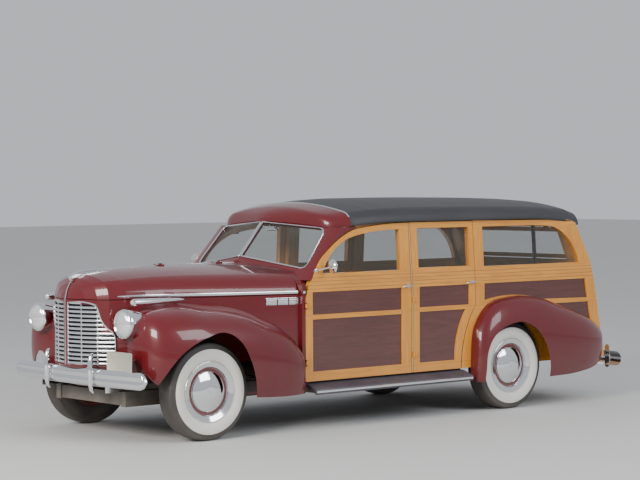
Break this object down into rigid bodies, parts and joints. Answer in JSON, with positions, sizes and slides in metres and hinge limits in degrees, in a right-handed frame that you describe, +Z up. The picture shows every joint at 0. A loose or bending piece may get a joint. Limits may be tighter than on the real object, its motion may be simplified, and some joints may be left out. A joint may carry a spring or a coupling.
{
  "type": "wood-bodied station wagon",
  "caption": "Four-door station wagon of about 1940 with a varnished timber body, painted front end, fabric roof, opening doors, hood leaves, liftgate and tailgate, and steered wheels.",
  "frame": {"origin": "on the ground, midway along the length and on the centre plane", "axes": "+Z up, the nose faces -Y, the driver's left is +X"},
  "size_m": [1.9014, 5.2059, 1.7267],
  "materials": {
    "maroon_paint": "deep gloss maroon",
    "varnished_wood": "varnished golden timber",
    "dark_panel": "varnished dark panel",
    "roof_fabric": "coated black fabric",
    "chrome": "polished",
    "glass": "clear",
    "red_leather": "stitched",
    "chassis_black": "satin black",
    "board_cover": "ribbed dark blue",
    "dash_brown": "gloss",
    "wheel_black": "gloss",
    "tyre": "matt",
    "wheel_maroon": "gloss maroon"
  },
  "bodies": {
    "body": {"chassis_frame": "chassis_black", "cowl_shell": "maroon_paint", "dashboard": "dash_brown", "engine_block": "chassis_black", "exhaust_pipe": "chassis_black", "fixed_glass": "glass", "floor_pan": "chassis_black", "front_bumper": "chrome", "front_fenders": "maroon_paint", "front_seat": "red_leather", "front_suspension": "chassis_black", "fuel_tank": "chassis_black", "grille": "chrome", "headlamps": "chrome", "hood_moulding": "chrome", "middle_seat": "red_leather", "nose_shell": "maroon_paint", "parking_lamps": "chrome", "quarter_panels": "dark_panel", "rear_axle": "chassis_black", "rear_bumper": "chrome", "rear_fenders": "maroon_paint", "rear_seat": "red_leather", "roof_top": "roof_fabric", "running_boards": "board_cover", "tail_lamps": "chrome", "timber_frame": "varnished_wood"},
    "door_front_left": {"door_front_left": "varnished_wood", "door_front_left_glass": "glass"},
    "door_front_right": {"door_front_right": "varnished_wood", "door_front_right_glass": "glass"},
    "door_rear_left": {"door_rear_left": "varnished_wood", "door_rear_left_glass": "glass"},
    "door_rear_right": {"door_rear_right": "varnished_wood", "door_rear_right_glass": "glass"},
    "hood_left": {"hood_left": "maroon_paint"},
    "hood_right": {"hood_right": "maroon_paint"},
    "liftgate": {"liftgate": "varnished_wood", "liftgate_glass": "glass"},
    "tailgate": {"tailgate": "varnished_wood"},
    "knuckle_left": {"knuckle_left": "chassis_black"},
    "knuckle_right": {"knuckle_right": "chassis_black"},
    "wheel_front_left": {"wheel_front_left": "wheel_maroon", "tyre_front_left": "tyre"},
    "wheel_front_right": {"wheel_front_right": "wheel_maroon", "tyre_front_right": "tyre"},
    "wheel_rear_left": {"wheel_rear_left": "wheel_maroon", "tyre_rear_left": "tyre"},
    "wheel_rear_right": {"wheel_rear_right": "wheel_maroon", "tyre_rear_right": "tyre"},
    "steering_wheel": {"steering_wheel": "wheel_black"}
  },
  "joints": [
    {"name": "door_front_left_hinge", "type": "hinge", "parent": "body", "child": "door_front_left", "pos_m": [0.788, -0.976, 0.7], "axis": [0, 0, -1], "range_deg": [0, 65]},
    {"name": "door_front_right_hinge", "type": "hinge", "parent": "body", "child": "door_front_right", "pos_m": [-0.788, -0.976, 0.7], "axis": [0, 0, 1], "range_deg": [0, 65]},
    {"name": "door_rear_left_hinge", "type": "hinge", "parent": "body", "child": "door_rear_left", "pos_m": [0.788, 0.123, 0.7], "axis": [0, 0, -1], "range_deg": [0, 65]},
    {"name": "door_rear_right_hinge", "type": "hinge", "parent": "body", "child": "door_rear_right", "pos_m": [-0.788, 0.123, 0.7], "axis": [0, 0, 1], "range_deg": [0, 65]},
    {"name": "hood_left_hinge", "type": "hinge", "parent": "body", "child": "hood_left", "pos_m": [0.014, -1.485, 1.247], "axis": [0, -1, 0], "range_deg": [0, 60]},
    {"name": "hood_right_hinge", "type": "hinge", "parent": "body", "child": "hood_right", "pos_m": [-0.014, -1.485, 1.247], "axis": [0, 1, 0], "range_deg": [0, 60]},
    {"name": "liftgate_hinge", "type": "hinge", "parent": "body", "child": "liftgate", "pos_m": [0, 2.05728, 1.4635], "axis": [1, 0, 0], "range_deg": [0, 65]},
    {"name": "tailgate_hinge", "type": "hinge", "parent": "body", "child": "tailgate", "pos_m": [0, 2.32044, 0.56657], "axis": [-1, 0, 0], "range_deg": [0, 90]},
    {"name": "kingpin_left", "type": "hinge", "parent": "body", "child": "knuckle_left", "pos_m": [0.622, -1.91, 0.355], "axis": [0, 0, 1], "range_deg": [-30, 30]},
    {"name": "kingpin_right", "type": "hinge", "parent": "body", "child": "knuckle_right", "pos_m": [-0.622, -1.91, 0.355], "axis": [0, 0, 1], "range_deg": [-30, 30]},
    {"name": "steering_wheel_turn", "type": "hinge", "parent": "body", "child": "steering_wheel", "pos_m": [0.37, -0.41, 1.07], "axis": [0, 0.866, 0.5], "range_deg": [-540, 540]},
    {"name": "wheel_front_left_spin", "type": "hinge", "parent": "knuckle_left", "child": "wheel_front_left", "pos_m": [0.74, -1.91, 0.355], "axis": [1, 0, 0], "continuous": true},
    {"name": "wheel_front_right_spin", "type": "hinge", "parent": "knuckle_right", "child": "wheel_front_right", "pos_m": [-0.74, -1.91, 0.355], "axis": [1, 0, 0], "continuous": true},
    {"name": "wheel_rear_left_spin", "type": "hinge", "parent": "body", "child": "wheel_rear_left", "pos_m": [0.7525, 1.163, 0.355], "axis": [1, 0, 0], "continuous": true},
    {"name": "wheel_rear_right_spin", "type": "hinge", "parent": "body", "child": "wheel_rear_right", "pos_m": [-0.7525, 1.163, 0.355], "axis": [1, 0, 0], "continuous": true}
  ],
  "couplings": [
    {"joint": "kingpin_right", "follows": "kingpin_left", "ratio": 1},
    {"joint": "steering_wheel_turn", "follows": "kingpin_left", "ratio": 18}
  ]
}
